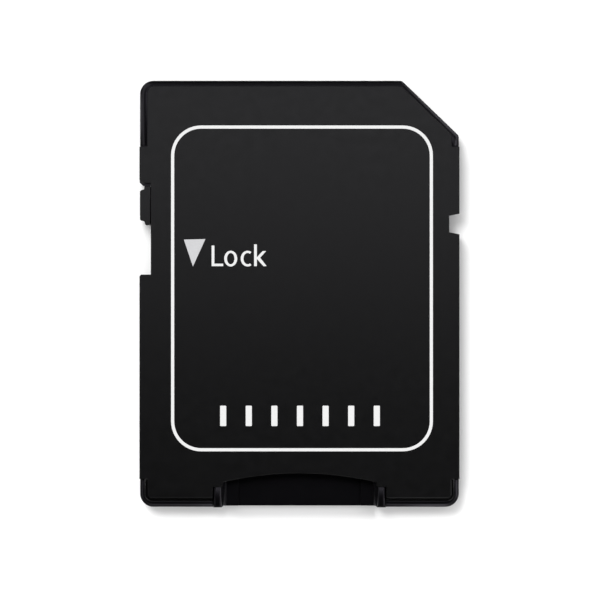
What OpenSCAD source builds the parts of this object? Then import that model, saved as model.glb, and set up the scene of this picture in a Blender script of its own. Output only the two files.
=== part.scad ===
// Adapter that carries a small memory card in the outline of a full-size one.
// The adapter lies on its contact side: X runs across it, Y points to the contact end, Z rises to the
// printed face, and the origin is under its centre.

/* [Case] */
// Width of the adapter
card_w = 24; // [22:0.1:26]
// Length of the adapter
card_l = 32; // [31:0.1:34]
// Thickness of the adapter
card_t = 2.1; // [2:0.05:2.6]
// Radius of the three round corners in plan
corner_r = 1; // [0.7:0.1:1.3]
// Radius at both ends of the slanted corner
slant_r = 0.35; // [0.1:0.05:0.6]
// Width that the slanted corner takes off
bevel_x = 4.25; // [3.6:0.05:4.6]
// Length that the slanted corner takes off
bevel_y = 4.1; // [3.6:0.05:4.6]
// Width of the guide step along each long side of the back
rail_w = 0.75; // [0.5:0.05:0.8]
// Height of the guide step, which is also the depth of the contact windows
rail_h = 0.7; // [0.6:0.02:0.8]
// Length of the guide step from the contact end
rail_l = 29; // [26:0.5:30]

/* [Cover] */
// Thickness of the cover's plate
plate_t = 0.45; // [0.35:0.05:0.5]
// Height of the joint between cover and base along the sides
joint_z = 1.2; // [1.15:0.01:1.3]
// Length of the contact end that the front rim wraps
head_l = 4.95; // [4.4:0.05:6]
// Width of the front rim at the sides
head_side = 0.56; // [0.45:0.01:0.7]
// Width of the front rim across the contact end
head_front = 0.38; // [0.3:0.01:0.5]
// Width of the front rim along the slanted corner
head_slant = 0.36; // [0.3:0.01:0.5]
// Height by which the front rim lies below the printed face
head_drop = 0.1; // [0.05:0.01:0.15]
// Radius of the front rim's rounding
head_r = 0.7; // [0.5:0.05:0.8]
// Length of the slot end that the rear rim wraps
tail_l = 2.12; // [1.9:0.02:2.3]
// Width of the rear rim at the sides
tail_side = 0.36; // [0.3:0.01:0.5]
// Width of the rear rim across the slot end
tail_rear = 0.44; // [0.35:0.01:0.6]
// Height by which the rear rim lies below the printed face
tail_drop = 0.3; // [0.25:0.01:0.35]
// Radius of the rear rim's rounding
tail_r = 0.45; // [0.3:0.05:0.5]
// Slope at which the rims' rounding meets their sides
rim_slope = 52; // [40:1:60]
// Width of the chamfer round the slot end of the cover
cover_chamfer = 0.25; // [0.15:0.01:0.3]
// Depth by which the rims' sides stand back from the cover's sides
rim_inset = 0.04; // [0:0.01:0.08]
// Gap between the cover and the rims
seam = 0.03; // [0.03:0.01:0.08]
// Gap between the cover's sides and the rims' ends
end_gap = 0.09; // [0.05:0.01:0.12]

/* [Card slot] */
// Width of the small card
mini_w = 11; // [10.8:0.05:11.1]
// Width of the small card's front part
mini_front_w = 9.7; // [9.6:0.05:9.8]
// Length of the small card
mini_l = 15; // [14.8:0.05:15.2]
// Length of the small card's narrow front part
mini_front_l = 6.4; // [6.2:0.05:6.6]
// Play of the small card on each side
mini_play = 0.08; // [0.05:0.01:0.12]
// Thickness of the slot's floor
floor_t = 0.4; // [0.3:0.02:0.45]
// Height of the ledges that the small card slides on
ledge_z = 0.78; // [0.74:0.01:0.84]
// Width of the sunk floor between the ledges
trough_w = 9.2; // [8.6:0.1:9.4]
// Width by which the mouth flares at each side
mouth_flare = 0.17; // [0.05:0.01:0.2]
// Length of the flare
flare_l = 1.8; // [1:0.1:2.4]
// Length of the slanted lead-in between ledge and wall
ramp_l = 2.3; // [2:0.1:3]
// Depth of the thumb arch at its middle
arch_d = 2.56; // [2.3:0.02:3]
// Radius of the thumb arch
arch_r = 25; // [20:1:40]
// Depth by which the slot's floor stands back from the end
floor_back = 0.09; // [0.03:0.01:0.2]
// Height of the detent bump in the slot's wall
detent_h = 0.3; // [0.1:0.05:0.4]

/* [Mouth posts] */
// Width of the post at each side of the mouth
post_w = 0.66; // [0.5:0.02:0.8]
// Length of the posts
post_l = 1.5; // [1.2:0.05:1.7]
// Radius of the posts' upper edges
post_r = 0.22; // [0.1:0.01:0.3]
// Thickness of the wall between a post and the slot
post_wall = 0.06; // [0.04:0.01:0.15]
// Gap round the posts
post_gap = 0.05; // [0.03:0.01:0.08]
// Depth by which the rear rim stands back from the posts
rim_back = 0.03; // [0:0.01:0.06]

/* [Contacts] */
// Thickness of the contact metal
metal_t = 0.15; // [0.1:0.01:0.16]
// Distance from one outer pad to the next
pad_pitch = 2.5; // [2.45:0.01:2.55]
// Width of an outer pad
pad_w = 2.15; // [2.05:0.01:2.25]
// Length of an outer pad
pad_l = 4.35; // [4:0.05:4.6]
// Distance from the contact end to the pads
pad_edge = 1.05; // [1:0.01:1.2]
// Width of a window over a pad
window_w = 1.85; // [1.6:0.01:1.95]
// Width of the narrow pad beside the left edge
narrow_pad_w = 1.2; // [1:0.05:1.3]
// Width of the tracks between pads and springs
track_w = 0.7; // [0.5:0.02:0.76]
// Clearance round the metal in its grooves
groove_gap = 0.04; // [0.02:0.01:0.06]
// Distance from one spring to the next
spring_pitch = 1.1; // [1.05:0.01:1.12]
// Length of the spring arms
spring_l = 3.2; // [2.8:0.05:3.4]
// Height of the spring tips above the ledges
spring_rise = 0.37; // [0.2:0.01:0.45]

/* [Write lock] */
// Depth of the notch that the lock slider runs in
notch_d = 0.85; // [0.8:0.01:0.95]
// Distance from the contact end to the notch
notch_y = 7.88; // [7.6:0.02:8.2]
// Length of the notch
notch_l = 6.66; // [6.2:0.02:7]
// Length of the slider along the notch
slider_l = 2.94; // [2.6:0.02:3.1]
// Length of the slider's finger nub
nub_l = 2.28; // [1.8:0.02:2.4]
// Height by which the finger nub stands out of the slider
nub_h = 0.33; // [0.2:0.01:0.4]
// Running clearance of the slider
slide_gap = 0.03; // [0.02:0.01:0.05]
// Clearance between the slider and the ends of its notch
stop_gap = 0.02; // [0.01:0.01:0.04]
// Length by which the cover's notch runs past the base's at its upper end
notch_relief = 0.2; // [0.1:0.01:0.3]
// Depth of the notch in the right side
key_d = 0.765; // [0.7:0.005:0.8]
// Distance from the contact end to the middle of the right notch
key_y = 10.75; // [10.5:0.05:11.2]
// Length of the right notch inside
key_l = 1.24; // [1.1:0.02:1.4]

/* [Print] */
// Width of the printed border
border_w = 19.4; // [18:0.1:20]
// Length of the printed border
border_l = 24.2; // [23:0.1:25]
// Distance of the border's middle to the right of the centre
border_x = 0.19; // [0:0.01:0.3]
// Distance of the border's middle above the centre
border_y = 0.42; // [0.2:0.01:0.6]
// Radius of the border's corners, along the middle of its line
border_r = 2.14; // [1.5:0.02:3]
// Width of the printed line
line_w = 0.235; // [0.15:0.005:0.4]
// Thickness of the ink
ink_t = 0.02; // [0.01:0.005:0.04]
// Width of the arrow
arrow_w = 1.61; // [1.2:0.01:2]
// Length of the arrow
arrow_l = 2.02; // [1.5:0.01:2.4]
// Distance from the border's line to the arrow's middle
arrow_x = 1.65; // [1.3:0.05:2.5]
// Distance from the contact end to the arrow's blunt end
arrow_y = 11.92; // [11:0.02:13]

/* [Hidden] */
$fn = 64;

cut = 0.2;                                  // overlap of a cutting tool beyond the face that it cuts
half_w = card_w / 2;
half_l = card_l / 2;
seat_z = card_t - plate_t;                  // underside of the cover's plate
head_z = card_t - head_drop;                // top of the front rim
tail_z = card_t - tail_drop;                // top of the rear rim
head_y = half_l - head_l;
tail_y = -half_l + tail_l;

wall_side = 1.5;                            // thickness of the side walls
wall_front = 0.65;                          // thickness of the wall behind the contact end
wall_bevel = 0.8;                           // thickness of the wall behind the slanted corner
wall_inner = 0.77;                          // thickness of the walls beside the slot
pocket_z = 0.5;                             // floor of the hollows beside the slot
track_z = rail_h + metal_t;                 // floor between the contact tracks

stop_y = -half_l + mini_l + 0.1;            // face that the small card's front end meets
slot_x = mini_w / 2 + mini_play;            // half width of the slot
slot_front_x = -mini_w / 2 + mini_front_w + mini_play;
key_step_y = stop_y - mini_front_l - 0.1;
mouth_x = slot_x + mouth_flare;
post_x = mouth_x + post_wall + post_w / 2;

function polar(r, a) = [r * cos(a), r * sin(a)];
function arc(r, from, to, steps = 6) = [for (i = [0:steps]) polar(r, from + (to - from) * i / steps)];
function shifted(points, by) = [for (p = points) p + by];

// A rectangle between two corners with round corners
module round_rect(x0, x1, y0, y1, r) {
    translate([x0 + r, y0]) square([x1 - x0 - 2 * r, y1 - y0]);
    translate([x0, y0 + r]) square([x1 - x0, y1 - y0 - 2 * r]);
    for (x = [x0 + r, x1 - r], y = [y0 + r, y1 - r]) translate([x, y]) circle(r);
}

// What lies beyond the slanted corner and its round ends, drawn in by an inset at the side, the contact
// end and the slant
module beyond_slant(side, front, bevel) {
    turn = atan2(bevel_y, bevel_x);
    slope = sqrt(bevel_x * bevel_x + bevel_y * bevel_y);
    upper = [half_w - bevel_x + (bevel_x * front - bevel * slope) / bevel_y, half_l - front];
    lower = [half_w - side, half_l - (bevel_y * (bevel_x - side) + bevel * slope) / bevel_x];
    upper_reach = slant_r * tan(turn / 2);
    lower_reach = slant_r * tan((90 - turn) / 2);
    polygon(concat(
        [[upper[0] - upper_reach, half_l + 1]],
        shifted(arc(slant_r, 90, 90 - turn), upper - [upper_reach, slant_r]),
        shifted(arc(slant_r, 90 - turn, 0), lower - [slant_r, lower_reach]),
        [[half_w + 1, lower[1] - lower_reach], [half_w + 1, half_l + 1]]));
}

// The adapter's plan, drawn in by its own inset at the sides, the contact end, the slot end and the bevel
module plan(side = 0, front = 0, rear = 0, bevel = 0, r = corner_r) {
    difference() {
        round_rect(-half_w + side, half_w - side, -half_l + rear, half_l - front, r);
        beyond_slant(side, front, bevel);
    }
}

module band(y0, y1) {
    translate([-half_w - 1, y0]) square([card_w + 2, y1 - y0]);
}

// Plan inside both rims, drawn in by a gap
module inside_rims(gap = 0) {
    r = corner_r / 2;
    intersection() {
        plan(head_side + gap, head_front + gap, 0, head_slant + gap, r);
        band(0, half_l);
    }
    intersection() {
        plan(tail_side + gap, 0, tail_rear + gap, 0, r);
        band(-half_l, 0);
    }
}

// Plan of the base, whose ends stand back a little from its sides
module base_plan() {
    plan(rim_inset, 0, rim_back, rim_inset);
    intersection() {
        plan();
        band(tail_y, head_y);
    }
}

// The hollow between the side walls
module hollow(y0, y1) {
    intersection() {
        plan(wall_side, wall_front, wall_front, wall_bevel, corner_r / 4);
        band(y0, y1);
    }
}

// Both notches in the long sides, from the back to the face
module side_notches(relief = 0) {
    top = half_l - notch_y + relief;
    low = half_l - notch_y - notch_l;
    lead = 0.25;                            // slant at the notch's outer ends
    right = half_l - key_y;
    slant = 0.14;
    translate([0, 0, -cut]) linear_extrude(card_t + 2 * cut) {
        polygon([[-half_w - cut, top + lead + cut], [-half_w + lead, top], [-half_w + notch_d, top],
                 [-half_w + notch_d, low], [-half_w + lead / 2, low], [-half_w - cut, low - lead / 2 - cut]]);
        polygon([[half_w + cut, right + key_l / 2 + slant + cut / 4], [half_w - key_d, right + key_l / 2],
                 [half_w - key_d, right - key_l / 2], [half_w + cut, right - key_l / 2 - slant - cut / 4]]);
    }
}

// Section of what a rim's rounding takes away below a height, with the rim's side at x = 0
module round_section(z, r) {
    reach = r * sin(rim_slope);
    drop = r * (1 - cos(rim_slope));
    polygon(concat(
        shifted(arc(r, 90, 90 - rim_slope), [-reach, z - r]),
        [[cut, z - drop - cut * tan(rim_slope)], [cut, z + cut], [-reach, z + cut]]));
}

// Section of what a chamfer takes away below a height
module chamfer_section(z, c) {
    polygon([[-c, z], [0, z - c], [cut, z - c], [cut, z + cut], [-c, z + cut]]);
}

// A section run along a straight side, whose outward direction is at an angle
module along_side(angle, distance, from, to) {
    rotate(angle) translate([distance, to]) rotate([90, 0, 0]) linear_extrude(to - from) children();
}

// A section run round a corner, from one outward direction to the next
module round_corner(x, y, angle, r) {
    translate([x, y]) rotate(angle) rotate_extrude(angle = 90) translate([r, 0]) children();
}

// The round outer edges of both rims
module rim_edges() {
    x = half_w - rim_inset;
    y = half_l - rim_back;
    slant_angle = atan2(bevel_x, bevel_y);
    slant_reach = (half_w - bevel_x) * cos(slant_angle) + half_l * sin(slant_angle) - rim_inset;
    along_side(0, x, 0, half_l) round_section(head_z, head_r);
    along_side(180, x, corner_r - half_l, 0) round_section(head_z, head_r);
    along_side(90, half_l, -half_w, x - corner_r) round_section(head_z, head_r);
    along_side(slant_angle, slant_reach, -half_w, half_w) round_section(head_z, head_r);
    round_corner(corner_r - x, half_l - corner_r, 90, corner_r) round_section(head_z, head_r);
    along_side(0, x, corner_r - y, 0) round_section(tail_z, tail_r);
    along_side(180, x, 0, y - corner_r) round_section(tail_z, tail_r);
    along_side(270, y, corner_r - x, x - corner_r) round_section(tail_z, tail_r);
    round_corner(corner_r - x, corner_r - y, 180, corner_r) round_section(tail_z, tail_r);
    round_corner(x - corner_r, corner_r - y, 270, corner_r) round_section(tail_z, tail_r);
}

// The chamfer round the slot end of the cover
module cover_edge() {
    x = half_w - tail_side - seam;
    y = half_l - tail_rear - seam;
    r = corner_r / 2;
    along_side(0, x, r - y, tail_y) chamfer_section(card_t, cover_chamfer);
    along_side(180, x, -tail_y, y - r) chamfer_section(card_t, cover_chamfer);
    along_side(270, y, r - x, x - r) chamfer_section(card_t, cover_chamfer);
    round_corner(r - x, r - y, 180, r) chamfer_section(card_t, cover_chamfer);
    round_corner(x - r, r - y, 270, r) chamfer_section(card_t, cover_chamfer);
}

// Plan of the slot for the small card: flared at the mouth, and stepped so that it only goes in one way round
module slot_plan() {
    y0 = -half_l - cut;
    flare_y = -half_l + flare_l;
    shoulder_y = key_step_y - (slot_x - slot_front_x) / 2;
    polygon([[-mouth_x, y0], [mouth_x, y0], [slot_x, flare_y], [slot_x, shoulder_y],
             [slot_front_x, key_step_y], [slot_front_x, stop_y], [-slot_x, stop_y], [-slot_x, flare_y]]);
}

// Plan of the sunk floor between the ledges, wide enough for the springs at its inner end
module trough_plan() {
    x = trough_w / 2;
    ledge = 0.5;
    left = -slot_x + ledge;
    right = slot_front_x - ledge;
    lead = 0.4;                             // length of the slants where the trough changes its width
    well_y = stop_y - spring_l - 1;
    polygon([[-x, -half_l - cut], [x, -half_l - cut], [x, key_step_y - 2.5 * lead], [right, key_step_y - lead],
             [right, stop_y], [left, stop_y], [left, well_y], [-x, well_y - lead]]);
}

// A post beside the mouth, with round upper edges
module post() {
    x = post_w / 2;
    z = head_z - post_r;
    translate([0, -half_l + post_l, 0]) rotate([90, 0, 0]) linear_extrude(post_l)
        polygon(concat([[-x, floor_t], [x, floor_t]], shifted(arc(post_r, 0, 90), [x - post_r, z]),
                       shifted(arc(post_r, 90, 180), [post_r - x, z])));
}

// The slanted lead-in between a ledge and the wall beside the mouth
module mouth_ramp() {
    x = mini_w / 2;
    rise = mouth_x + post_wall - x;
    translate([0, -half_l + floor_back + ramp_l, 0]) rotate([90, 0, 0]) linear_extrude(ramp_l)
        polygon([[x, ledge_z], [x, ledge_z - 0.1], [x + rise, ledge_z - 0.1], [x + rise, ledge_z + rise]]);
}

// Outer pads from right to left: [middle, width, pad's lower end, spring number or -1]
pad_y = half_l - pad_edge - pad_l;
first_x = 9.25;                             // middle of the pad under the slanted corner
corner_pad_y = pad_y - 2;
corner_pad_l = 3.6;
narrow_step = 1.65;                         // distance from the last full pad to the narrow one
last_x = first_x - 6 * pad_pitch - 2.43;
PADS = [
    [first_x, pad_w, corner_pad_y, corner_pad_l, 0],
    [first_x - pad_pitch, pad_w, pad_y, pad_l, 1],
    [first_x - 2 * pad_pitch, pad_w, pad_y, pad_l, 2],
    [first_x - 3 * pad_pitch, pad_w, pad_y, pad_l, -1],
    [first_x - 4 * pad_pitch, pad_w, pad_y, pad_l, 3],
    [first_x - 5 * pad_pitch, pad_w, pad_y, pad_l, 4],
    [first_x - 6 * pad_pitch, pad_w, pad_y, pad_l, 5],
    [last_x, narrow_step - 0.2, pad_y, pad_l, 6],
    [last_x - narrow_step, narrow_pad_w, pad_y, pad_l, 7],
];
fan_top = corner_pad_y - 0.4;
fan_low = stop_y + 2.1;
function spring_x(i) = (slot_front_x - slot_x) / 2 + (3.5 - i) * spring_pitch;

// Plan of one contact, from its outer pad to the foot of its spring
module contact_plan(i, gap = 0) {
    x = PADS[i][0];
    w = PADS[i][1] + 2 * gap;
    y = PADS[i][2];
    t = track_w / 2 + gap;
    s = spring_x(PADS[i][4]);
    translate([x - w / 2, y - gap]) square([w, PADS[i][3] + 2 * gap]);
    end_y = stop_y - (gap > 0 ? cut : 0);
    if (PADS[i][4] >= 0)
        polygon([[x - t, y + 0.2], [x - t, fan_top], [s - t, fan_low], [s - t, end_y],
                 [s + t, end_y], [s + t, fan_low], [x + t, fan_top], [x + t, y + 0.2]]);
}

// A spring arm that rises into the slot from the foot of its track and turns down at its tip
module spring_arm(x) {
    low = rail_h + metal_t / 2;
    high = ledge_z + spring_rise - metal_t / 2;
    line = [[stop_y + 0.4, low], [stop_y - 0.1, low], [stop_y - 0.3, low + 0.03],
            [stop_y - 0.76 * spring_l, high - 0.02], [stop_y - 0.81 * spring_l, high],
            [stop_y - 0.86 * spring_l, high - 0.02], [stop_y - spring_l, high - 0.2]];
    half = [0, metal_t / 2];
    back = [for (i = [len(line) - 1:-1:0]) line[i] - half];
    translate([x - track_w / 2, 0, 0]) rotate([90, 0, 90]) linear_extrude(track_w)
        polygon(concat(shifted(line, half), back));
}

module contact(i) {
    color("goldenrod") {
        translate([0, 0, rail_h]) linear_extrude(metal_t) contact_plan(i);
        if (PADS[i][4] >= 0) spring_arm(spring_x(PADS[i][4]));
    }
}

bridge_z = track_z + 0.2;                   // height of the step that the ground bridge lies on
bridge_w = 0.45;
bridge_y = half_l - pad_edge;

// The two ground pads are one stamping: a bridge climbs behind the contact end and joins them
module contact_ground() {
    half = 0.5;
    contact(3);
    contact(6);
    color("goldenrod") {
        for (i = [3, 6]) translate([PADS[i][0] - half, bridge_y - metal_t, rail_h])
            cube([2 * half, metal_t, bridge_z + metal_t - rail_h]);
        translate([PADS[6][0] - half, bridge_y - metal_t, bridge_z])
            cube([PADS[3][0] - PADS[6][0] + 2 * half, bridge_w, metal_t]);
    }
}

// Windows in the back over the outer pads, open to the contact end
module windows() {
    side = (pad_w - window_w) / 2;
    translate([0, 0, -cut]) linear_extrude(rail_h + cut) {
        for (i = [0:6]) translate([PADS[i][0] - window_w / 2, PADS[i][2] + side])
            square([window_w, half_l + 1 - PADS[i][2]]);
        x0 = PADS[8][0] - narrow_pad_w / 2 + side;
        x1 = PADS[7][0] + PADS[7][1] / 2 - side;
        translate([x0, pad_y + side]) square([x1 - x0, half_l + 1 - pad_y]);
    }
}

// Posts in the hollows beside the slot, which the cover is welded to
module weld_posts() {
    first = 3.4;                            // distance of the first row from the slot end
    pitch = 4.2;
    for (side = [-1, 1], row = [0:2])
        translate([side * (slot_x + wall_inner + half_w - wall_side) / 2, first + row * pitch - half_l,
                   pocket_z - cut / 2]) cylinder(r = 0.6, h = seat_z - pocket_z + cut / 2);
}

module rear_base() {
    core_x = slot_x + wall_inner;
    pocket_y = stop_y - wall_inner;
    color("#1c1c1f") {
        difference() {
            union() {
                linear_extrude(joint_z) base_plan();
                linear_extrude(seat_z) intersection() {
                    base_plan();
                    union() {
                        band(head_y + end_gap, half_l);
                        band(-half_l, tail_y - end_gap);
                        translate([-core_x, -half_l]) square([2 * core_x, stop_y + half_l]);
                    }
                }
                linear_extrude(head_z) rim_plan(head_y + end_gap, half_l);
                linear_extrude(tail_z) rim_plan(-half_l, tail_y - end_gap);
            }
            rim_edges();
            side_notches();
            translate([0, 0, track_z]) linear_extrude(card_t) hollow(stop_y, bridge_y + 0.1);
            translate([0, 0, bridge_z]) linear_extrude(card_t) hollow(stop_y, half_l);
            for (side = [-1, 1]) translate([0, 0, pocket_z]) linear_extrude(card_t) intersection() {
                hollow(-half_l + 1.3, pocket_y);
                translate([side > 0 ? core_x : -half_w, -half_l]) square([half_w - core_x, card_l]);
            }
            translate([0, 0, ledge_z]) linear_extrude(card_t) slot_plan();
            translate([0, 0, floor_t]) linear_extrude(card_t) trough_plan();
            translate([-mouth_x - 0.03, -half_l - cut, -cut])
                cube([2 * mouth_x + 0.06, cut + floor_back, card_t + 2 * cut]);
            translate([0, 0, seat_z]) linear_extrude(card_t) mouth_opening();
            translate([0, 0, rail_h]) linear_extrude(card_t) for (i = [0:8]) contact_plan(i, groove_gap);
            windows();
            guide_steps();
            lock_channel();
        }
        for (side = [-1, 1]) translate([side * post_x, 0, 0]) post();
        for (side = [0, 1]) mirror([side, 0, 0]) mouth_ramp();
        detent();
        weld_posts();
    }
}

// Plan of the rim between two places along the adapter
module rim_plan(y0, y1) {
    difference() {
        intersection() {
            base_plan();
            band(y0, y1);
        }
        inside_rims();
    }
}

// Guide steps along the back, and the slanted lower edge of the contact end
module guide_steps() {
    for (side = [-1, 1]) translate([side > 0 ? half_w - rail_w : -half_w - cut, half_l - rail_l, -cut])
        cube([rail_w + cut, rail_l + cut, rail_h + cut]);
    translate([-half_w, half_l, 0]) rotate([90, 0, 90]) linear_extrude(card_w)
        polygon([[-0.3, -cut], [cut, -cut], [cut, 0.45], [0, 0.25], [-0.25, 0]]);
}

// Bump in the right wall of the slot that holds the small card by its side notch
module detent() {
    r = 0.6;
    y = key_step_y - 2;
    intersection() {
        translate([slot_x + r - detent_h, y, ledge_z - 0.1]) cylinder(r = r, h = seat_z - ledge_z + 0.1);
        translate([slot_x - detent_h - 0.1, y - 1, 0]) cube([detent_h + 0.2, 2, card_t]);
    }
}

// Opening at the end of the cover: the thumb arch, and the two slots for the posts
module mouth_opening() {
    x = post_x - post_w / 2 - post_gap / 2;
    outer = post_x + post_w / 2 + post_gap;
    intersection() {
        translate([0, -half_l + arch_d - arch_r]) circle(arch_r, $fn = 240);
        translate([-x, -half_l - cut]) square([2 * x, arch_d + 2 * cut]);
    }
    translate([-outer, -half_l - cut]) square([2 * outer, cut + post_l + post_gap]);
}

// Space behind the left notch for the slider's guide, with a lip on each shell that keeps it in
lip_x = -half_w + notch_d + 0.2;
lip_low = joint_z - 0.07;
lip_high = seat_z - 0.13;
channel_x = -half_w + wall_side + 0.4;
module lock_channel() {
    y0 = half_l - notch_y - notch_l + 0.13;
    length = notch_l - 0.21;
    translate([lip_x, y0, track_z]) cube([channel_x - lip_x, length, seat_z - track_z]);
    translate([-half_w, half_l - notch_y - notch_l, lip_low])
        cube([lip_x + half_w + 0.05, notch_l, lip_high - lip_low]);
}

module front_cover() {
    color("#26262a") {
        difference() {
            union() {
                difference() {
                    translate([0, 0, seat_z]) linear_extrude(plate_t) cover_plan();
                    cover_edge();
                }
                translate([0, 0, joint_z]) linear_extrude(plate_t + seat_z - joint_z) difference() {
                    intersection() {
                        plan();
                        band(tail_y, head_y);
                    }
                    hollow(-half_l, half_l);
                }
            }
            side_notches(notch_relief);
            lock_channel();
            translate([0, 0, -cut]) linear_extrude(card_t + 2 * cut) mouth_opening();
        }
        hold_downs();
    }
}

// Plan of the cover: full width between the rims, and inside the rim at both ends
module cover_plan() {
    inside_rims(seam);
    intersection() {
        plan();
        band(tail_y, head_y);
    }
}

// Ribs under the cover that hold the contacts down, the first of which stops the small card
module hold_downs() {
    rib = 0.6;
    clear = 0.02;
    z = track_z + clear;
    h = seat_z - z + plate_t / 2;
    left = PADS[8][0] - narrow_pad_w / 2;
    right = PADS[1][0] + pad_w / 2;
    translate([-slot_x, stop_y, z]) cube([slot_x + slot_front_x, rib, h]);
    for (y = [pad_y + 0.8, bridge_y - metal_t - 0.9]) translate([left, y, z]) cube([right - left, rib, h]);
}

// Slider of the write lock, at its unlocked end
module lock_slider() {
    top = half_l - notch_y - stop_gap;
    low = top - slider_l;
    x = -half_w + notch_d - slide_gap;
    skin = 0.03;                            // depth of the nub's face behind the case's side
    nub_x = -half_w + skin;
    nub_top = top - 0.32;
    nub_low = nub_top - nub_l;
    step = 0.08;
    z0 = rail_h + 0.05;
    guide_in = 0.17;                        // length by which the guide stops short of the slider's ends
    guide_l = slider_l - 2 * guide_in;
    guide_play = 0.15;                      // gap between the guide and the channel's inner wall
    web_z = lip_low + slide_gap;
    web_h = lip_high - lip_low - 2 * slide_gap;
    guide_z = track_z + slide_gap;
    color("#232326") {
        translate([0, 0, z0]) linear_extrude(head_z - z0)
            polygon([[x, low], [x, top], [nub_x + nub_h, top], [nub_x + nub_h, nub_top + step],
                     [nub_x + step, nub_top], [nub_x, nub_top - step], [nub_x, nub_low + step],
                     [nub_x + step, nub_low], [nub_x + nub_h, low + 0.3], [nub_x + nub_h + step, low + 0.04],
                     [nub_x + nub_h + 2 * step, low]]);
        translate([x - 0.1, low + guide_in, web_z]) cube([lip_x - x + 0.2, guide_l, web_h]);
        translate([lip_x + slide_gap, low + guide_in, guide_z])
            cube([channel_x - lip_x - guide_play - slide_gap, guide_l, seat_z - guide_z - slide_gap]);
    }
}

module printed_border() {
    x = border_w / 2;
    y = border_l / 2;
    half = line_w / 2;
    color("white") translate([border_x, border_y, card_t]) linear_extrude(ink_t) difference() {
        round_rect(-x - half, x + half, -y - half, y + half, border_r + half);
        round_rect(-x + half, x - half, -y + half, y - half, border_r - half);
    }
}

module lock_arrow() {
    lean = 0.13;                            // how far the point lies left of the middle
    tilt = 0.04;                            // how far the blunt end rises to the right
    color("gainsboro") translate([border_x - border_w / 2 + arrow_x, half_l - arrow_y, card_t])
        linear_extrude(ink_t) polygon([[-arrow_w / 2, 0], [-lean, -arrow_l], [arrow_w / 2, tilt]]);
}

front_cover();
rear_base();
lock_slider();
contact(0);  // contact_data_2
contact(1);  // contact_data_3
contact(2);  // contact_command
contact_ground();
contact(4);  // contact_supply
contact(5);  // contact_clock
contact(7);  // contact_data_0
contact(8);  // contact_data_1
printed_border();
lock_arrow();
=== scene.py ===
"""Looks of a memory card adapter: its finishes, its print, a pale floor, soft light and the camera."""

from __future__ import annotations

import logging
import math
from dataclasses import dataclass, field
from enum import Enum
from typing import Iterable, Sequence

import bmesh
import bpy
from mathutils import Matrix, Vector

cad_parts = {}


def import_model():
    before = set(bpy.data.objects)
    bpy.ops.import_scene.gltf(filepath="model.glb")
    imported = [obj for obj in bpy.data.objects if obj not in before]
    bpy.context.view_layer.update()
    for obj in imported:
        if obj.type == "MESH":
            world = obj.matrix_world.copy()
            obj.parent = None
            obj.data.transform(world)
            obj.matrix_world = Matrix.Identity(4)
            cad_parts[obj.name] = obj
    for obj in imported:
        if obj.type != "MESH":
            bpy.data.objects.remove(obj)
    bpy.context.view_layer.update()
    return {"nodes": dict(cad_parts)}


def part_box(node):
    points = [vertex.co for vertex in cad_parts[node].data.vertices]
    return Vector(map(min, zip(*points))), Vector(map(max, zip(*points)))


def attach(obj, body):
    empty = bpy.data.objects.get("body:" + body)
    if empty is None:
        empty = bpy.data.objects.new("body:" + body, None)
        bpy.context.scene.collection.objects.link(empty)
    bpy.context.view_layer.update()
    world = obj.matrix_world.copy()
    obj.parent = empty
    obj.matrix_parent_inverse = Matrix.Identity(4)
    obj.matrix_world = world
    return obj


MM = 0.001
PHOTO_SIDE = 600

# Nearly all of a noise's values lie between these two.
NOISE_LOW = 0.3
NOISE_HIGH = 0.7

# A mould's grain ends where a face slopes by the first angle, and is whole up to the second.
POLISHED_SLOPE = math.radians(35)
GRAINED_SLOPE = math.radians(10)

# Points of a CAD mesh closer than WELD_MM are one point, its faces that turn by less than FLAT_ANGLE are one
# face, and its edges that turn by more than SHARP_ANGLE are eased.
WELD_MM = 0.0005
FLAT_ANGLE = math.radians(0.3)
SHARP_ANGLE = math.radians(30)

# The lights' dome, in m: its radius, and the height of its middle.
DOME_RADIUS = 0.16
DOME_MIDDLE = 0.002

log = logging.getLogger("memory_card_adapter")

Colour = tuple[float, float, float]
Place = tuple[float, float, float]
Point = tuple[float, float]


class Grain(Enum):
    """Surfaces that the moulds leave on the plastic."""

    FINE_MATT = "fine matt"
    SATIN = "satin"


@dataclass(frozen=True)
class GrainDepths:
    """How a moulded grain looks: its size in mm, its bump depth in mm, its roughness and how that varies."""

    size: float
    depth: float
    roughness: float
    uneven: float


GRAINS: dict[Grain, GrainDepths] = {
    Grain.FINE_MATT: GrainDepths(0.10, 0.0010, 0.34, 0.03),
    Grain.SATIN: GrainDepths(0.07, 0.0005, 0.28, 0.006),
}


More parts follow.
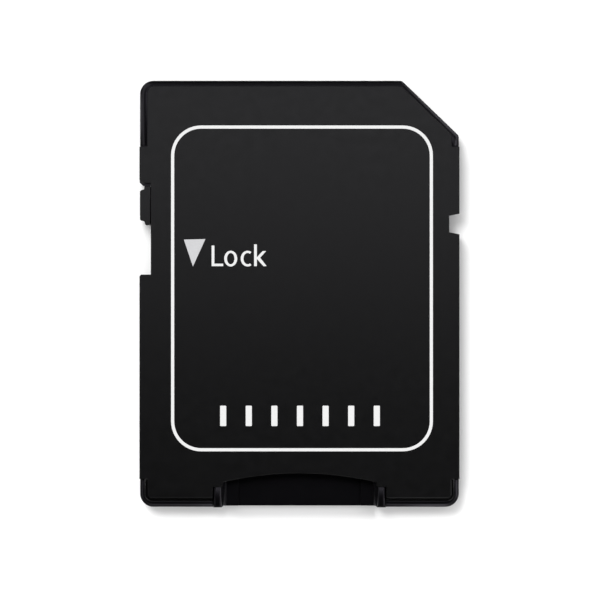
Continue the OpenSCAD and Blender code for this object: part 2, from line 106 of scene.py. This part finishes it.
class NodeSheet:
    """A material's node tree, with short calls to add and wire its nodes."""

    def __init__(self, name: str) -> None:
        """Starts an empty tree.

        Args:
            name: the material's name.
        """
        self.material = bpy.data.materials.new(name)
        self.material.use_nodes = True
        self.tree = self.material.node_tree
        self.tree.nodes.clear()
        self.output = self.tree.nodes.new("ShaderNodeOutputMaterial")

    def add(self, kind: str) -> bpy.types.Node:
        """Adds and returns a node of a kind, by Blender's name of its type."""
        return self.tree.nodes.new(kind)

    def wire(self, source: bpy.types.NodeSocket, target: bpy.types.NodeSocket) -> None:
        """Joins two sockets."""
        self.tree.links.new(source, target)

    def noise(self, size_mm: float, detail: float = 3.0, stretch: Sequence[float] = (1, 1, 1)) -> bpy.types.Node:
        """Adds a noise in the object's own space.

        Args:
            size_mm: size of its features.
            detail: number of octaves.
            stretch: factors on the three axes.

        Returns:
            The noise node.
        """
        place = self.add("ShaderNodeTexCoord")
        mapping = self.add("ShaderNodeMapping")
        mapping.inputs["Scale"].default_value = tuple(stretch)
        texture = self.add("ShaderNodeTexNoise")
        texture.inputs["Scale"].default_value = 1 / (size_mm * MM)
        texture.inputs["Detail"].default_value = detail
        self.wire(place.outputs["Object"], mapping.inputs["Vector"])
        self.wire(mapping.outputs["Vector"], texture.inputs["Vector"])
        return texture

    def spread(self, texture: bpy.types.Node, low: float, high: float) -> bpy.types.NodeSocket:
        """Maps a noise to a range of values.

        Args:
            texture: the noise node.
            low: value at the noise's low end.
            high: value at its high end.

        Returns:
            The socket with the mapped value.
        """
        ranged = self.add("ShaderNodeMapRange")
        ranged.inputs["From Min"].default_value = NOISE_LOW
        ranged.inputs["From Max"].default_value = NOISE_HIGH
        ranged.inputs["To Min"].default_value = low
        ranged.inputs["To Max"].default_value = high
        self.wire(texture.outputs["Fac"], ranged.inputs["Value"])
        return ranged.outputs["Result"]

    def tinted(self, texture: bpy.types.Node, dark: Colour, light: Colour) -> bpy.types.NodeSocket:
        """Mixes two colours by a noise.

        Args:
            texture: the noise node.
            dark: colour at the noise's low end.
            light: colour at its high end.

        Returns:
            The socket with the colour.
        """
        ramp = self.add("ShaderNodeValToRGB")
        ramp.color_ramp.elements[0].position = NOISE_LOW
        ramp.color_ramp.elements[1].position = NOISE_HIGH
        ramp.color_ramp.elements[0].color = (*dark, 1)
        ramp.color_ramp.elements[1].color = (*light, 1)
        self.wire(texture.outputs["Fac"], ramp.inputs["Fac"])
        return ramp.outputs["Color"]

    def by_slope(self, steep: float, level: bpy.types.NodeSocket) -> bpy.types.NodeSocket:
        """Picks one value on level faces and another on sloping ones, in the object's own space.

        Args:
            steep: value where the face slopes by POLISHED_SLOPE or more.
            level: socket with the value where it slopes by GRAINED_SLOPE or less.

        Returns:
            The socket with the picked value.
        """
        place = self.add("ShaderNodeTexCoord")
        split = self.add("ShaderNodeSeparateXYZ")
        share = self.add("ShaderNodeMapRange")
        share.inputs["From Min"].default_value = math.cos(POLISHED_SLOPE)
        share.inputs["From Max"].default_value = math.cos(GRAINED_SLOPE)
        blend = self.add("ShaderNodeMix")
        blend.inputs["A"].default_value = steep
        self.wire(place.outputs["Normal"], split.inputs["Vector"])
        self.wire(split.outputs["Z"], share.inputs["Value"])
        self.wire(share.outputs["Result"], blend.inputs["Factor"])
        self.wire(level, blend.inputs["B"])
        return blend.outputs["Result"]

    def bumped(
        self, texture: bpy.types.Node, depth_mm: float, below: bpy.types.Node | None = None
    ) -> bpy.types.Node:
        """Adds a bump made by a noise.

        Args:
            texture: the noise node.
            depth_mm: height of the bump.
            below: a bump that this one lies on.

        Returns:
            The bump node.
        """
        bump = self.add("ShaderNodeBump")
        bump.inputs["Distance"].default_value = depth_mm * MM
        self.wire(texture.outputs["Fac"], bump.inputs["Height"])
        if below is not None:
            self.wire(below.outputs["Normal"], bump.inputs["Normal"])
        return bump


def scaled(colour: Colour, by: float) -> Colour:
    """Returns a colour made lighter or darker."""
    return (colour[0] * by, colour[1] * by, colour[2] * by)


@dataclass(frozen=True)
class MouldedPlastic:
    """Black moulded plastic with the mould's grain, faint cloudiness and uneven sheen.

    Under the fine grain lies a coarse one: coarse_size and coarse_depth are its size and depth as multiples of
    the fine one's. Chamfers and walls may be polished: polished_edges is their roughness.
    """

    name: str
    colour: Colour
    grain: Grain
    specular: float = 0.4
    sheen: Colour = (1.0, 1.0, 1.0)
    cloud: float = 0.12
    cloud_mm: float = 1.6
    sheen_mm: float = 0.7
    coarse_size: float = 3.2
    coarse_depth: float = 1.6
    polished_edges: float | None = None

    def material(self) -> bpy.types.Material:
        """Builds the material.

        Returns:
            The material.
        """
        sheet = NodeSheet(self.name)
        look = GRAINS[self.grain]
        shader = sheet.add("ShaderNodeBsdfPrincipled")
        shader.inputs["Specular IOR Level"].default_value = self.specular
        shader.inputs["Specular Tint"].default_value = (*self.sheen, 1)
        cloud = sheet.noise(self.cloud_mm, detail=4.0)
        sheet.wire(
            sheet.tinted(cloud, scaled(self.colour, 1 - self.cloud), scaled(self.colour, 1 + self.cloud)),
            shader.inputs["Base Color"],
        )
        sheen = sheet.noise(self.sheen_mm, detail=7.0)
        low, high = look.roughness - look.uneven, look.roughness + look.uneven
        roughness = sheet.spread(sheen, low, high)
        if self.polished_edges is not None:
            roughness = sheet.by_slope(self.polished_edges, roughness)
        sheet.wire(roughness, shader.inputs["Roughness"])
        coarse_grain = sheet.noise(look.size * self.coarse_size, detail=2.0)
        coarse = sheet.bumped(coarse_grain, look.depth * self.coarse_depth)
        fine = sheet.bumped(sheet.noise(look.size), look.depth, coarse)
        sheet.wire(fine.outputs["Normal"], shader.inputs["Normal"])
        sheet.wire(shader.outputs["BSDF"], sheet.output.inputs["Surface"])
        return sheet.material


@dataclass(frozen=True)
class GoldPlate:
    """Gold-plated strip with rolling lines along it and slightly uneven plating."""

    name: str
    light: Colour = (0.93, 0.68, 0.32)
    dark: Colour = (0.88, 0.62, 0.27)
    plating_mm: float = 0.9
    line_mm: float = 0.03
    line_stretch: tuple[float, float, float] = (1, 0.02, 1)
    line_depth: float = 0.00006
    smoothest: float = 0.255
    roughest: float = 0.29

    def material(self) -> bpy.types.Material:
        """Builds the material.

        Returns:
            The material.
        """
        sheet = NodeSheet(self.name)
        shader = sheet.add("ShaderNodeBsdfPrincipled")
        shader.inputs["Metallic"].default_value = 1.0
        plating = sheet.noise(self.plating_mm, detail=4.0)
        sheet.wire(sheet.tinted(plating, self.dark, self.light), shader.inputs["Base Color"])
        lines = sheet.noise(self.line_mm, detail=2.0, stretch=self.line_stretch)
        sheet.wire(sheet.spread(lines, self.smoothest, self.roughest), shader.inputs["Roughness"])
        sheet.wire(sheet.bumped(lines, self.line_depth).outputs["Normal"], shader.inputs["Normal"])
        sheet.wire(shader.outputs["BSDF"], sheet.output.inputs["Surface"])
        return sheet.material


@dataclass(frozen=True)
class Ink:
    """Screen-printed ink: nearly even, with the screen's faint grain in its tone and surface."""

    name: str
    colour: Colour
    specular: float = 0.3
    roughness: float = 0.55
    uneven: float = 0.05
    darkest: float = 0.95
    grain_mm: float = 0.12
    grain_depth: float = 0.0008

    def material(self) -> bpy.types.Material:
        """Builds the material.

        Returns:
            The material.
        """
        sheet = NodeSheet(self.name)
        shader = sheet.add("ShaderNodeBsdfPrincipled")
        shader.inputs["Specular IOR Level"].default_value = self.specular
        grain = sheet.noise(self.grain_mm)
        sheet.wire(sheet.tinted(grain, scaled(self.colour, self.darkest), self.colour), shader.inputs["Base Color"])
        low, high = self.roughness - self.uneven, self.roughness + self.uneven
        sheet.wire(sheet.spread(grain, low, high), shader.inputs["Roughness"])
        sheet.wire(sheet.bumped(grain, self.grain_depth).outputs["Normal"], shader.inputs["Normal"])
        sheet.wire(shader.outputs["BSDF"], sheet.output.inputs["Surface"])
        return sheet.material


def dress(piece: bpy.types.Object, material: bpy.types.Material) -> None:
    """Gives a piece one material all over.

    Args:
        piece: the mesh object.
        material: its new material.
    """
    piece.data.materials.clear()
    piece.data.materials.append(material)
    log.info("%s is finished in %s", piece.name, material.name)


@dataclass
class Housing:
    """The two moulded shells: the printed cover and the base under it."""

    nodes: dict[str, bpy.types.Object]
    cover_edge_mm: float = 0.035
    base_edge_mm: float = 0.06
    cover_finish: MouldedPlastic = MouldedPlastic(
        "cover_plastic", (0.0010, 0.0010, 0.0011), Grain.FINE_MATT, polished_edges=0.15
    )
    base_finish: MouldedPlastic = MouldedPlastic(
        "base_plastic", (0.0008, 0.0008, 0.0010), Grain.SATIN, sheen=(0.92, 0.88, 1.0)
    )

    def dress(self) -> None:
        """Finishes both shells and eases their moulded edges."""
        shells = (
            ("front_cover", self.cover_finish, self.cover_edge_mm),
            ("rear_base", self.base_finish, self.base_edge_mm),
        )
        for name, finish, edge_mm in shells:
            shell = self.nodes[name]
            dress(shell, finish.material())
            ease_edges(shell, edge_mm)


@dataclass
class WriteLock:
    """The slider of the write lock."""

    nodes: dict[str, bpy.types.Object]
    edge_mm: float = 0.05
    finish: MouldedPlastic = MouldedPlastic("slider_plastic", (0.0010, 0.0010, 0.0012), Grain.SATIN)

    def dress(self) -> None:
        """Finishes the slider and eases its edges."""
        slider = self.nodes["lock_slider"]
        dress(slider, self.finish.material())
        ease_edges(slider, self.edge_mm)


@dataclass
class ContactSet:
    """The gold-plated stampings between the outer pads and the slot."""

    nodes: dict[str, bpy.types.Object]
    edge_mm: float = 0.02
    finish: GoldPlate = GoldPlate("gold_plate")

    def dress(self) -> None:
        """Plates every contact and eases its stamped edges."""
        gold = self.finish.material()
        for name in sorted(self.nodes):
            if name.startswith("contact_"):
                dress(self.nodes[name], gold)
                ease_edges(self.nodes[name], self.edge_mm)


def ease_edges(piece: bpy.types.Object, width_mm: float) -> None:
    """Rounds a CAD piece's sharp edges a little, as a mould or a press leaves them.

    Args:
        piece: the CAD node.
        width_mm: width of the rounding.
    """
    weld = piece.modifiers.new("weld", "WELD")
    weld.merge_threshold = WELD_MM * MM
    flat = piece.modifiers.new("flat", "DECIMATE")
    flat.decimate_type = "DISSOLVE"
    flat.angle_limit = FLAT_ANGLE
    bevel = piece.modifiers.new("eased_edges", "BEVEL")
    bevel.width = width_mm * MM
    bevel.segments = 2
    bevel.limit_method = "ANGLE"
    bevel.angle_limit = SHARP_ANGLE
    bevel.miter_outer = "MITER_ARC"
    piece.modifiers.new("normals", "WEIGHTED_NORMAL")
    for face in piece.data.polygons:
        face.use_smooth = True


def prism(name: str, outlines: Iterable[Sequence[Point]], low: float, high: float) -> bpy.types.Object:
    """Makes thin upright prisms on outlines, in one piece.

    Args:
        name: the new object's name.
        outlines: closed outlines in mm, anticlockwise.
        low: height of their lower face in mm.
        high: height of their upper face in mm.

    Returns:
        The new object.
    """
    mesh = bpy.data.meshes.new(name)
    shape = bmesh.new()
    for outline in outlines:
        lower = [shape.verts.new((x * MM, y * MM, low * MM)) for x, y in outline]
        upper = [shape.verts.new((x * MM, y * MM, high * MM)) for x, y in outline]
        count = len(outline)
        shape.faces.new(upper)
        shape.faces.new(list(reversed(lower)))
        for i in range(count):
            j = (i + 1) % count
            shape.faces.new((lower[i], lower[j], upper[j], upper[i]))
    shape.normal_update()
    bmesh.ops.triangulate(shape, faces=[f for f in shape.faces if len(f.verts) > 4])
    shape.to_mesh(mesh)
    shape.free()
    piece = bpy.data.objects.new(name, mesh)
    bpy.context.scene.collection.objects.link(piece)
    return piece


def ring_arc(centre: Point, outer: Point, inner: Point, start: float, end: float, steps: int = 40) -> list[Point]:
    """Outline of a bent stroke, such as the letter c.

    Args:
        centre: middle of the bend.
        outer: outer radii across and up.
        inner: inner radii across and up.
        start: first angle in degrees.
        end: last angle in degrees.
        steps: number of steps along the bend.

    Returns:
        The outline's points, anticlockwise.
    """
    angles = [math.radians(start + (end - start) * i / steps) for i in range(steps + 1)]
    out = [(centre[0] + outer[0] * math.cos(a), centre[1] + outer[1] * math.sin(a)) for a in angles]
    back = [(centre[0] + inner[0] * math.cos(a), centre[1] + inner[1] * math.sin(a)) for a in reversed(angles)]
    return out + back


def round_bar(x: float, y: float, width: float, height: float, radius: float, steps: int = 5) -> list[Point]:
    """Outline of a bar with round corners.

    Args:
        x: its middle across.
        y: its middle up.
        width: its width.
        height: its height.
        radius: radius of its corners.
        steps: number of steps in each corner.

    Returns:
        The outline's points, anticlockwise.
    """
    points: list[Point] = []
    for quarter, (sx, sy) in enumerate(((1, 1), (-1, 1), (-1, -1), (1, -1))):
        cx = x + sx * (width / 2 - radius)
        cy = y + sy * (height / 2 - radius)
        for i in range(steps + 1):
            angle = math.pi / 2 * (quarter + i / steps)
            points.append((cx + radius * math.cos(angle), cy + radius * math.sin(angle)))
    return points


@dataclass
class Print:
    """The ink on the cover: the border and the arrow of the model, the switch legend and a row of bars.

    Its sizes are in mm and its angles in degrees. letter_starts holds how far the second, third and fourth
    letter stand from the first one's left edge, and k_joins the heights at which the last one's two arms leave
    its stem.
    """

    nodes: dict[str, bpy.types.Object]
    face_mm: float
    ink_mm: float = 0.02
    white: Ink = Ink("white_ink", (0.60, 0.60, 0.60))
    grey: Ink = Ink("grey_ink", (0.445, 0.445, 0.455))
    legend_left: float = -6.586
    legend_base: float = 2.09
    capital: float = 1.543
    small: float = 1.13
    stem: float = 0.207
    thin: float = 0.165
    foot: float = 0.185
    foot_reach: float = 0.87
    letter_starts: tuple[float, float, float] = (0.945, 2.18, 3.185)
    round_half_height: float = 0.589
    o_half_width: float = 0.4875
    c_half_width: float = 0.52
    c_ends: Point = (57, 303)
    k_joins: Point = (0.54, 0.66)
    k_fork: Point = (0.45, 0.63)
    k_lower_arm: Point = (0.70, 0.945)
    k_upper_arm: Point = (0.64, 0.90)
    k_rise: float = 0.09
    mark_count: int = 7
    mark_pitch: float = 1.92
    mark_size: Point = (0.46, 1.53)
    mark_corner: float = 0.06
    mark_centre: Point = (0.04, -9.14)

    def build(self) -> None:
        """Dresses the modelled print and adds the legend and the marks."""
        white = self.white.material()
        dress(self.nodes["printed_border"], white)
        dress(self.nodes["lock_arrow"], self.grey.material())
        for name, outlines in (("lock_legend", self.legend()), ("slot_marks", self.marks())):
            piece = prism(name, outlines, self.face_mm, self.face_mm + self.ink_mm)
            dress(piece, white)
            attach(piece, "housing")

    def marks(self) -> list[list[Point]]:
        """Outlines of a plain row of bars.

        Returns:
            The outlines.
        """
        first = self.mark_centre[0] - self.mark_pitch * (self.mark_count - 1) / 2
        return [
            round_bar(first + i * self.mark_pitch, self.mark_centre[1], *self.mark_size, self.mark_corner)
            for i in range(self.mark_count)
        ]

    def legend(self) -> list[list[Point]]:
        """Outlines of the switch legend, in plain strokes.

        Returns:
            The outlines, with the closed round letter in two halves.
        """
        x, y = self.legend_left, self.legend_base
        reach = x + self.foot_reach
        bar = [(x, y), (reach, y), (reach, y + self.foot), (x + self.stem, y + self.foot)]
        letter_l = bar + [(x + self.stem, y + self.capital), (x, y + self.capital)]
        o_x, c_x, k_x = (x + start for start in self.letter_starts)
        halves = [self.round_letter(o_x, self.o_half_width, start, start + 180) for start in (-90, 90)]
        letter_c = self.round_letter(c_x, self.c_half_width, *self.c_ends)
        return [letter_l, *halves, letter_c, self.letter_k(k_x, y)]

    def round_letter(self, x: float, half_width: float, start: float, end: float) -> list[Point]:
        """Outline of a round letter's stroke, thinner at its top and foot than at its sides.

        Args:
            x: its left edge.
            half_width: half of its width.
            start: angle in degrees where the stroke starts.
            end: angle in degrees where it ends.

        Returns:
            The outline's points, anticlockwise.
        """
        centre = (x + half_width, self.legend_base + self.small / 2)
        outer = (half_width, self.round_half_height)
        inner = (half_width - self.stem, self.round_half_height - self.thin)
        return ring_arc(centre, outer, inner, start, end)

    def letter_k(self, x: float, y: float) -> list[Point]:
        """Outline of a small k.

        Args:
            x: its left edge.
            y: its base line.

        Returns:
            The outline's points, anticlockwise.
        """
        top = y + self.small
        ascender = y + self.capital + self.k_rise
        return [
            (x, y),
            (x + self.stem, y),
            (x + self.stem, y + self.k_joins[0]),
            (x + self.k_lower_arm[0], y),
            (x + self.k_lower_arm[1], y),
            (x + self.k_fork[0], y + self.k_fork[1]),
            (x + self.k_upper_arm[1], top),
            (x + self.k_upper_arm[0], top),
            (x + self.stem, y + self.k_joins[1]),
            (x + self.stem, ascender),
            (x, ascender),
        ]


@dataclass(frozen=True)
class Panel:
    """A rectangular soft light: where it stands, what it faces, its size in m and its brightness."""

    name: str
    place: Place
    size: Point
    brightness: float
    aim: Place = (0.0, 0.0, 0.0)
    colour: Colour = (1.0, 1.0, 1.0)

    def build(self) -> None:
        """Makes the light, which shows in gloss alone."""
        lamp = bpy.data.lights.new(self.name, "AREA")
        lamp.shape = "RECTANGLE"
        lamp.size, lamp.size_y = self.size
        lamp.energy = self.brightness * math.pi * self.size[0] * self.size[1]
        lamp.color = self.colour
        piece = bpy.data.objects.new(self.name, lamp)
        piece.location = self.place
        away = Vector(self.place) - Vector(self.aim)
        piece.rotation_euler = away.to_track_quat("Z", "Y").to_euler()
        piece.visible_diffuse = False
        piece.visible_camera = False
        bpy.context.scene.collection.objects.link(piece)


def around(name: str, azimuth: float, elevation: float, brightness: float, size: Point = (0.12, 0.05)) -> Panel:
    """Places a panel on a dome round the model, facing its middle.

    Args:
        name: the light's name.
        azimuth: its bearing in degrees, 0 at the right and 90 at the contact end.
        elevation: its angle in degrees over the model's middle.
        brightness: its brightness.
        size: its width and height in m.

    Returns:
        The panel.
    """
    bearing, rise = math.radians(azimuth), math.radians(elevation)
    level = DOME_RADIUS * math.cos(rise)
    place = (level * math.cos(bearing), level * math.sin(bearing), DOME_MIDDLE + DOME_RADIUS * math.sin(rise))
    return Panel(name, place, size, brightness, (0.0, 0.0, DOME_MIDDLE))


@dataclass
class Studio:
    """Pale floor, soft light and the camera straight above the printed face.

    Its sizes are in m where no name says otherwise, and sun_softness is in degrees. sun_shift is how far in mm
    the key light travels sideways on its way down the model.
    """

    face_m: float
    pixels_per_mm: float = 13.335
    centre_px: Point = (299.45, 294.0)
    lens_mm: float = 400.0
    lens_clip: Point = (0.01, 5.0)
    paper: Colour = (0.9, 0.9, 0.9)
    floor_side: float = 3.0
    floor_z: float = 0.01 * MM
    mat_z: float = 0.02 * MM
    opening: tuple[float, float, float, float] = (-11.1 * MM, -15.7 * MM, 11.1 * MM, 14.2 * MM)
    opening_cut: float = 3.6 * MM
    mat_rim: float = 8.0 * MM
    daylight: float = 0.95
    sun_strength: float = 2.2
    sun_shift: Point = (0.65, -1.05)
    sun_softness: float = 28.0
    flag_half: float = 5.5 * MM
    flag_y: float = -16.0 * MM
    panels: list[Panel] = field(
        default_factory=lambda: [
            Panel(
                "overhead_panel",
                (0.0, 0.0205, 0.10),
                (0.10, 0.031),
                1.21,
                (0.0, 0.0205, 0.0),
                (0.985, 0.98, 1.035),
            ),
            Panel("rear_overhead_panel", (0.0, 0.056, 0.10), (0.10, 0.014), 1.28, (0.0, 0.056, 0.0)),
            around("right_high", 0, 60, 0.38),
            around("right", 0, 35, 2.3),
            around("right_low", 0, 15, 0.6),
            around("rear_right_low", 45, 15, 2.4),
            around("rear", 90, 35, 0.35),
            around("rear_left", 135, 35, 0.8),
            around("rear_left_low", 135, 15, 1.1),
            around("left", 180, 35, 0.95),
            Panel("left_near", (-0.045, 0.0115, 0.009), (0.012, 0.013), 1.6, (-0.012, 0.0115, 0.002)),
            Panel("front_near", (0.0095, -0.047, 0.016), (0.012, 0.016), 2.2, (0.0095, -0.016, 0.002)),
            around("front_left", 225, 35, 0.4),
            around("front", 270, 35, 1.05),
            around("front_low", 270, 15, 0.4),
            around("front_right", 315, 35, 0.6),
            around("front_right_low", 315, 15, 0.3),
            Panel("below", (0.0, 0.0, -0.15), (0.22, 0.22), 1.0),
            around("below_right", 20, -45, 1.0, (0.14, 0.08)),
            around("below_rear", 110, -45, 0.8, (0.14, 0.08)),
            around("below_left", 200, -45, 0.7, (0.14, 0.08)),
            around("below_front", 290, -45, 0.8, (0.14, 0.08)),
        ]
    )

    def build(self) -> None:
        """Makes the floor, the flag, the world, the lights and the camera."""
        self.floor()
        self.flag()
        self.world()
        self.sun()
        for panel in self.panels:
            panel.build()
        self.camera()

    def floor(self) -> None:
        """Lays the pale floor, and on it a mat that shows in gloss alone, so that the walls mirror pale ground."""
        half = self.floor_side / 2
        ground = self.sheet("floor", (-half, -half, half, half), self.floor_z)
        ground.visible_glossy = False
        ground.visible_shadow = False
        left, front, right, back = self.opening
        rim = self.mat_rim
        mat = self.sheet("mat", (left - rim, front - rim, right + rim, back + rim), self.mat_z)
        for way in ("visible_camera", "visible_diffuse", "visible_shadow", "visible_transmission"):
            setattr(mat, way, False)

    def sheet(self, name: str, edges: tuple[float, float, float, float], height: float) -> bpy.types.Object:
        """Makes a pale sheet with an opening under the model, which leaves the model's underside in sight.

        Args:
            name: the sheet's name.
            edges: its left, front, right and back edges in m.
            height: its height in m.

        Returns:
            The sheet.
        """
        left, front, right, back = edges
        outside = [(left, front), (right, front), (right, back), (left, back)]
        left, front, right, back = self.opening
        cut = self.opening_cut
        inside = [(left, front), (right, front), (right, back - cut), (right - cut, back), (left, back)]
        faces = [(0, 1, 5, 4), (1, 2, 6, 5), (2, 7, 6), (2, 3, 8, 7), (3, 0, 4, 8)]
        mesh = bpy.data.meshes.new(name)
        mesh.from_pydata([(x, y, height) for x, y in outside + inside], [], faces)
        piece = bpy.data.objects.new(name, mesh)
        bpy.context.scene.collection.objects.link(piece)
        paper = NodeSheet(f"{name}_paper")
        shader = paper.add("ShaderNodeBsdfDiffuse")
        shader.inputs["Color"].default_value = (*self.paper, 1)
        paper.wire(shader.outputs["BSDF"], paper.output.inputs["Surface"])
        piece.data.materials.append(paper.material)
        return piece

    def flag(self) -> None:
        """Stands a card across the slot's mouth that only blocks light, so that the slot stays dark."""
        half, front, top = self.flag_half, self.flag_y, self.face_m
        mesh = bpy.data.meshes.new("flag")
        outline = [(-half, front, 0), (half, front, 0), (half, front, top), (-half, front, top)]
        mesh.from_pydata(outline, [], [(0, 1, 2, 3)])
        card = bpy.data.objects.new("flag", mesh)
        bpy.context.scene.collection.objects.link(card)
        for way in ("visible_camera", "visible_glossy", "visible_diffuse", "visible_transmission"):
            setattr(card, way, False)

    def world(self) -> None:
        """Makes an even pale surround, which the plastic's gloss doesn't mirror."""
        world = bpy.data.worlds.new("studio")
        bpy.context.scene.world = world
        world.use_nodes = True
        background = world.node_tree.nodes["Background"]
        background.inputs["Color"].default_value = (1, 1, 1, 1)
        background.inputs["Strength"].default_value = self.daylight
        world.cycles_visibility.glossy = False
        bpy.context.scene.view_settings.view_transform = "Standard"

    def sun(self) -> None:
        """Makes the soft key light that throws the short shadow."""
        lamp = bpy.data.lights.new("key_light", "SUN")
        lamp.energy = self.sun_strength
        lamp.angle = math.radians(self.sun_softness)
        piece = bpy.data.objects.new("key_light", lamp)
        travel = Vector((*self.sun_shift, -self.face_m / MM))
        piece.rotation_euler = (-travel).to_track_quat("Z", "Y").to_euler()
        piece.visible_glossy = False
        bpy.context.scene.collection.objects.link(piece)

    def camera(self) -> None:
        """Hangs the camera above the face, framed as the photo is."""
        lens = bpy.data.cameras.new("camera")
        lens.lens = self.lens_mm
        lens.dof.use_dof = False
        span = PHOTO_SIDE / self.pixels_per_mm * MM
        piece = bpy.data.objects.new("camera", lens)
        half = PHOTO_SIDE / 2
        piece.location = (
            (half - self.centre_px[0]) / self.pixels_per_mm * MM,
            (self.centre_px[1] - half) / self.pixels_per_mm * MM,
            self.face_m + span * self.lens_mm / lens.sensor_width,
        )
        lens.clip_start, lens.clip_end = self.lens_clip
        bpy.context.scene.collection.objects.link(piece)
        bpy.context.scene.camera = piece


def main() -> None:
    """Builds the looks in order."""
    logging.basicConfig(level=logging.INFO, format="%(name)s: %(message)s")
    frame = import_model()
    nodes = frame["nodes"]
    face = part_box("front_cover")[1].z
    Studio(face).build()
    Housing(nodes).dress()
    WriteLock(nodes).dress()
    ContactSet(nodes).dress()
    Print(nodes, face / MM).build()


if __name__ == "__main__":
    main()
